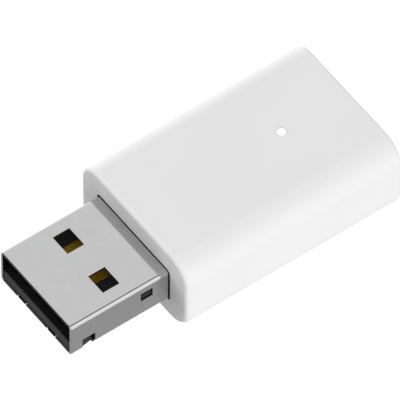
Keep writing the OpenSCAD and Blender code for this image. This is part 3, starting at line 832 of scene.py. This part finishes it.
def folded_sheet():
    """A grid round the section and along the plug, with cells left out for windows and
    notches, given its thickness and rounded cut edges."""
    stations = shell_stations()
    count = len(stations)
    bm = bmesh.new()
    outside, inside = {}, {}
    keep = {}
    for i in range(count):
        middle = [(p + q) / 2 for p, q in zip(stations[i], stations[(i + 1) % count])]
        for j in range(len(ROWS) - 1):
            keep[i, j] = not is_cut(*middle, (ROWS[j] + ROWS[j + 1]) / 2)

    def vert(surface, i, j):
        if (i, j) not in surface:
            x, z, normal_x, normal_z = stations[i]
            y = ROWS[j]
            depth = 0 if surface is outside else SHEET
            if j < 3:         # the rolled front edge
                if surface is outside:
                    drop = ROLL_R ** 2 - (ROLL_R - ROLL[j]) ** 2
                    depth += ROLL_R - math.sqrt(max(0.0, drop))
                else:
                    y = SHELL_FRONT + INNER_ROLL[j]
            surface[i, j] = bm.verts.new((x - depth * normal_x, y, z - depth * normal_z))
        return surface[i, j]

    kept = [cell for cell, stays in keep.items() if stays]
    for i, j in kept:
        i2 = (i + 1) % count
        quad = [(i, j), (i2, j), (i2, j + 1), (i, j + 1)]
        bm.faces.new([vert(outside, *key) for key in quad])
        bm.faces.new([vert(inside, *key) for key in reversed(quad)])

    # walls through the sheet wherever the neighbouring cell is missing
    rim = []
    for i, j in kept:
        i2 = (i + 1) % count
        sides = [((i, j), (i2, j), (i, j - 1)),
                 ((i, j + 1), (i2, j + 1), (i, j + 1)),
                 ((i, j), (i, j + 1), ((i - 1) % count, j)),
                 ((i2, j), (i2, j + 1), (i2, j))]
        for p, q, neighbour in sides:
            if keep.get(neighbour, False):
                continue
            wall = [outside[p], outside[q], inside[q], inside[p]]
            bm.faces.new(wall)
            if p[1] or q[1]:  # the outer front edge is rolled already
                rim.append((wall[0], wall[1]))
            rim.append((wall[3], wall[2]))
    bmesh.ops.recalc_face_normals(bm, faces=bm.faces)
    edges = [bm.edges.get(pair) for pair in rim]
    edges = [e for e in edges if e and e.is_manifold]
    bmesh.ops.bevel(bm, geom=edges, offset=CUT_EDGE_R, segments=3, profile=0.5,
                    affect="EDGES", clamp_overlap=True, loop_slide=True)
    return link("plug_shell", bm)


def seam_outline():
    """The dovetailed seam of the underside in X and Y, widened to both sides of its path."""
    path = [(0, SHELL_FRONT - 1), (0, -9.54), (1.10, -9.94), (1.10, -6.96), (0, -7.36),
            (0, SHELL_REAR + 1)]
    left, right = [], []
    for k, (x, y) in enumerate(path):
        before = Vector(path[k]) - Vector(path[k - 1]) if k else Vector(path[1]) - Vector(path[0])
        after = Vector(path[k + 1]) - Vector(path[k]) if k < len(path) - 1 else before.copy()
        before.normalize()
        after.normalize()
        normal = Vector((-before.y, before.x))
        mid = (normal + Vector((-after.y, after.x))).normalized()
        offset = mid * (SEAM_HALF / max(0.35, mid.dot(normal)))
        left.append((x + offset.x, y + offset.y))
        right.append((x - offset.x, y - offset.y))
    return left + list(reversed(right))


def build_shell():
    ob = folded_sheet()
    # legs through the board
    legs = [sided(side, (SHELL_X - SHEET + LEG_INSET, y + LEG_SPAN[0], LEG_Z),
                  (SHELL_X - LEG_INSET, y + LEG_SPAN[1], SHELL_HI[2]))
            for side in (1, -1) for y in LEG_STARTS]
    boolean(ob, boxes("legs", legs, bevel=0.03), "UNION")
    seam = prism("seam", seam_outline(), -SHELL_Z - 0.5, -SHELL_Z + SHEET * 0.7)
    boolean(ob, seam, "DIFFERENCE")
    smooth(ob, 28)
    place(ob, "usb_shell", "plug_steel")


build_shell()

# ---------------------------------------------------------------- carried-over nodes
CHIP_CAPS = {"output_capacitors": 0.5, "ceramic_capacitors": 0.2, "chip_resistors": 0.2,
             "ferrite_beads": 0.3}    # length of the plated end caps
REPLACED = {"housing_sleeve", "light_pipe", "rear_cap", "usb_shell", *CHIP_CAPS}
EDGE_BREAK = 0.03
EDGE_BREAKS = {"usb_insulator": 0.05, "jack_housing": 0.06, "solder_joints": 0.0,
               "jack_tip_spring": 0.015, "jack_ring_spring": 0.015,
               "jack_ground_spring": 0.015, "chip_antenna": 0.05, "power_inductor": 0.06,
               "bluetooth_soc": 0.02, "crystal": 0.04}
SAME_PLACE = 2e-7             # metres between corners that count as one


def dress(node, material, edge_break):
    """A carried-over CAD node: merged flats, broken edges and its material."""
    ob = NODES[node]
    modify(ob, "join", "WELD", merge_threshold=SAME_PLACE)
    modify(ob, "flats", "DECIMATE", decimate_type="DISSOLVE", angle_limit=math.radians(0.5))
    if edge_break:
        modify(ob, "edges", "BEVEL", width=edge_break * MM, segments=2, limit_method="ANGLE",
               angle_limit=math.radians(30.0), use_clamp_overlap=True, harden_normals=False)
    modify(ob, "shade", "WEIGHTED_NORMAL", keep_sharp=True)
    for slot in ob.material_slots:
        slot.material = material
    if not ob.material_slots:
        ob.data.materials.append(material)


for name in sorted(NODES):
    if name not in REPLACED:
        dress(name, MAT[SLOT[name]], EDGE_BREAKS.get(name, EDGE_BREAK))


# ---------------------------------------------------------------- chips with end caps
def chip_spans(node):
    """The box of each separate chip of a group, in millimetres."""
    ob = NODES[node]
    bm = bmesh.new()
    bm.from_mesh(ob.data)
    bm.transform(ob.matrix_world)
    bmesh.ops.remove_doubles(bm, verts=bm.verts, dist=SAME_PLACE)
    seen, spans = set(), []
    for start in bm.verts:
        if start in seen:
            continue
        stack, part = [start], []
        seen.add(start)
        while stack:
            v = stack.pop()
            part.append(v.co * 1000)
            for e in v.link_edges:
                other = e.other_vert(v)
                if other not in seen:
                    seen.add(other)
                    stack.append(other)
        spans.append(([min(c[k] for c in part) for k in range(3)],
                      [max(c[k] for c in part) for k in range(3)]))
    bm.free()
    return sorted(spans)


def chip_group(node, cap):
    """Ceramic bodies with a plated cap folded over both ends."""
    bodies, caps = [], []
    for lo, hi in chip_spans(node):
        along = 0 if hi[0] - lo[0] > hi[1] - lo[1] else 1
        inset = min(0.03, 0.1 * (hi[2] - lo[2]))
        body_lo, body_hi = [c + inset for c in lo], [c - inset for c in hi]
        body_lo[along], body_hi[along] = lo[along] + cap / 2, hi[along] - cap / 2
        bodies.append((body_lo, body_hi))
        near_hi, far_lo = list(hi), list(lo)
        near_hi[along] = lo[along] + cap
        far_lo[along] = hi[along] - cap
        caps += [(lo, near_hi), (far_lo, hi)]
    place(boxes(node + "_bodies", bodies, bevel=0.02), node, SLOT[node])
    place(boxes(node + "_ends", caps, bevel=0.18 * cap, segments=3), node, "solder")


for name, cap in CHIP_CAPS.items():
    chip_group(name, cap)

# ---------------------------------------------------------------- floor, metres
FLOOR_HALF = 1.2
FLOOR_GAP = 0.00002           # below the lowest piece


def floor_material():
    """Pale and faintly lit from above, clear from below."""
    material = bpy.data.materials.new("floor")
    g = Graph(material)
    output = g.node("OutputMaterial")
    matt = g.node("BsdfDiffuse", Color=(0.16, 0.16, 0.16))
    glow = g.node("Emission", Color=(1, 1, 1), Strength=0.95)
    lit = g.node("AddShader")
    g.put(lit.inputs[0], matt.outputs[0])
    g.put(lit.inputs[1], glow.outputs[0])
    choice = g.node("MixShader")
    g.put(choice.inputs[0], g.node("NewGeometry").outputs["Backfacing"])
    g.put(choice.inputs[1], lit.outputs[0])
    g.put(choice.inputs[2], g.node("BsdfTransparent").outputs[0])
    g.put(output.inputs[0], choice.outputs[0])
    return material


def build_floor():
    mesh = bpy.data.meshes.new("floor")
    corners = [(x * FLOOR_HALF, y * FLOOR_HALF, 0)
               for x, y in ((-1, -1), (1, -1), (1, 1), (-1, 1))]
    mesh.from_pydata(corners, [], [(0, 1, 2, 3)])
    ob = bpy.data.objects.new("floor", mesh)
    ob.location = (0, 0, CAD_LO.z - FLOOR_GAP)
    COLL.objects.link(ob)
    mesh.materials.append(floor_material())
    ob.visible_diffuse = False
    ob.visible_glossy = False
    ob.visible_transmission = False
    ob.visible_shadow = False


build_floor()

# ---------------------------------------------------------------- light
# panels that polished faces mirror: degrees round the long axis from +Z to +X, brightness
BELT = [(-180, 1.0), (-150, 1.45), (-100, 1.3), (-60, 1.05), (-32, 0.955), (-7, 0.88),
        (-3, 0.04), (15, 0.04), (20, 1.15), (60, 1.3), (98, 1.2), (122, 0.52),
        (148, 0.46), (165, 0.5)]


def build_world():
    world = bpy.data.worlds.new("studio")
    SCENE.world = world
    g = Graph(world)
    output = g.node("OutputWorld")
    background = g.node("Background", Color=(1, 1, 1))
    g.put(output.inputs[0], background.outputs[0])
    coord = g.node("TexCoord")
    rays = g.node("LightPath")

    def dot(direction):
        node = g.node("VectorMath")
        node.operation = "DOT_PRODUCT"
        g.put(node.inputs[0], coord.outputs["Generated"])
        g.put(node.inputs[1], Vector(direction).normalized())
        return node.outputs["Value"]

    def lobe(direction, inner, outer, value):
        """value inside a cone of angle inner, falling to 0 at outer (degrees)."""
        return g.remap(dot(direction), to=(0.0, value), eased=True,
                       span=(math.cos(math.radians(outer)), math.cos(math.radians(inner))))

    # broad light that the matt surfaces take: bright on both sides, darker towards the
    # two ends, with two panels in front
    across, along, up = dot((1, 0, 0)), dot((0, 1, 0)), dot((0, 0, 1))
    both_sides, both_ends, level = 1.33, -0.81, 0.605
    lean_x, lean_y, lean_z, lean_yz = -0.14, 0.04, 0.05, -0.6
    soft = g.plus(g.times(across, across, both_sides), g.times(along, along, both_ends),
                  g.times(across, lean_x), g.times(along, lean_y), g.times(up, lean_z),
                  g.math("ADD", level), g.times(along, up, lean_yz),
                  lobe((-0.55, -0.62, 0.56), inner=10, outer=40, value=0.68),
                  lobe((0.45, -0.6, -0.65), inner=10, outer=40, value=0.48))
    soft = g.largest(soft, 0.0)

    # the belt of panels round the long axis, dimmed towards the front end
    turn = g.remap(g.math("ARCTAN2", across, up), span=(-math.pi, math.pi))
    belt = g.node("ValToRGB", Fac=turn)
    belt.color_ramp.interpolation = "EASE"
    elements = belt.color_ramp.elements
    while len(elements) < len(BELT):
        elements.new(0.5)
    for element, (degrees, value) in zip(elements, BELT):
        element.position = (degrees + 180) / 360
        element.color = (value, value, value, 1)
    ends = g.remap(along, span=(-0.36, 0.25), to=(0.05, 1.0), eased=True)
    flank = g.remap(across, span=(0.0, 0.25), to=(0.0, 0.7), eased=True)
    gloss = g.times(belt.outputs[0], g.largest(ends, flank))

    # the camera itself sees plain white
    glossy, camera = rays.outputs["Is Glossy Ray"], rays.outputs["Is Camera Ray"]
    mixed = g.plus(g.times(soft, g.inverse(glossy)), g.times(gloss, glossy))
    g.fill(background, Strength=g.plus(g.times(mixed, g.inverse(camera)), camera))


build_world()

# ---------------------------------------------------------------- camera, metres
LENS, SENSOR = 1400.0, 36.0           # millimetres
VIEW_WIDTH = 0.039935                 # what the picture spans at the target
VIEW_OFFSET = (0.00099, 0.00749, 0.00287)  # target from the sleeve's front, at mid height
AZIMUTH, ELEVATION = math.radians(53.919), math.radians(52.493)  # from -Y to +X, and up


def build_camera():
    cam = bpy.data.cameras.new("camera")
    cam.type = "PERSP"
    cam.sensor_width = SENSOR
    cam.lens = LENS
    ob = bpy.data.objects.new("camera", cam)
    COLL.objects.link(ob)
    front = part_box("housing_sleeve")[0].y
    target = Vector((VIEW_OFFSET[0], front + VIEW_OFFSET[1],
                     (CAD_LO.z + CAD_HI.z) / 2 + VIEW_OFFSET[2]))
    back = Vector((math.sin(AZIMUTH) * math.cos(ELEVATION),
                   -math.cos(AZIMUTH) * math.cos(ELEVATION), math.sin(ELEVATION)))
    ob.location = target + back * (VIEW_WIDTH * LENS / SENSOR)
    ob.rotation_mode = "QUATERNION"
    ob.rotation_quaternion = (-back).to_track_quat("-Z", "Y")
    cam.clip_start, cam.clip_end = 0.05, 10.0
    SCENE.camera = ob


build_camera()
SCENE.view_settings.view_transform = "Standard"
SCENE.view_settings.look = "None"
SCENE.view_settings.exposure = 0.0
SCENE.view_settings.gamma = 1.0
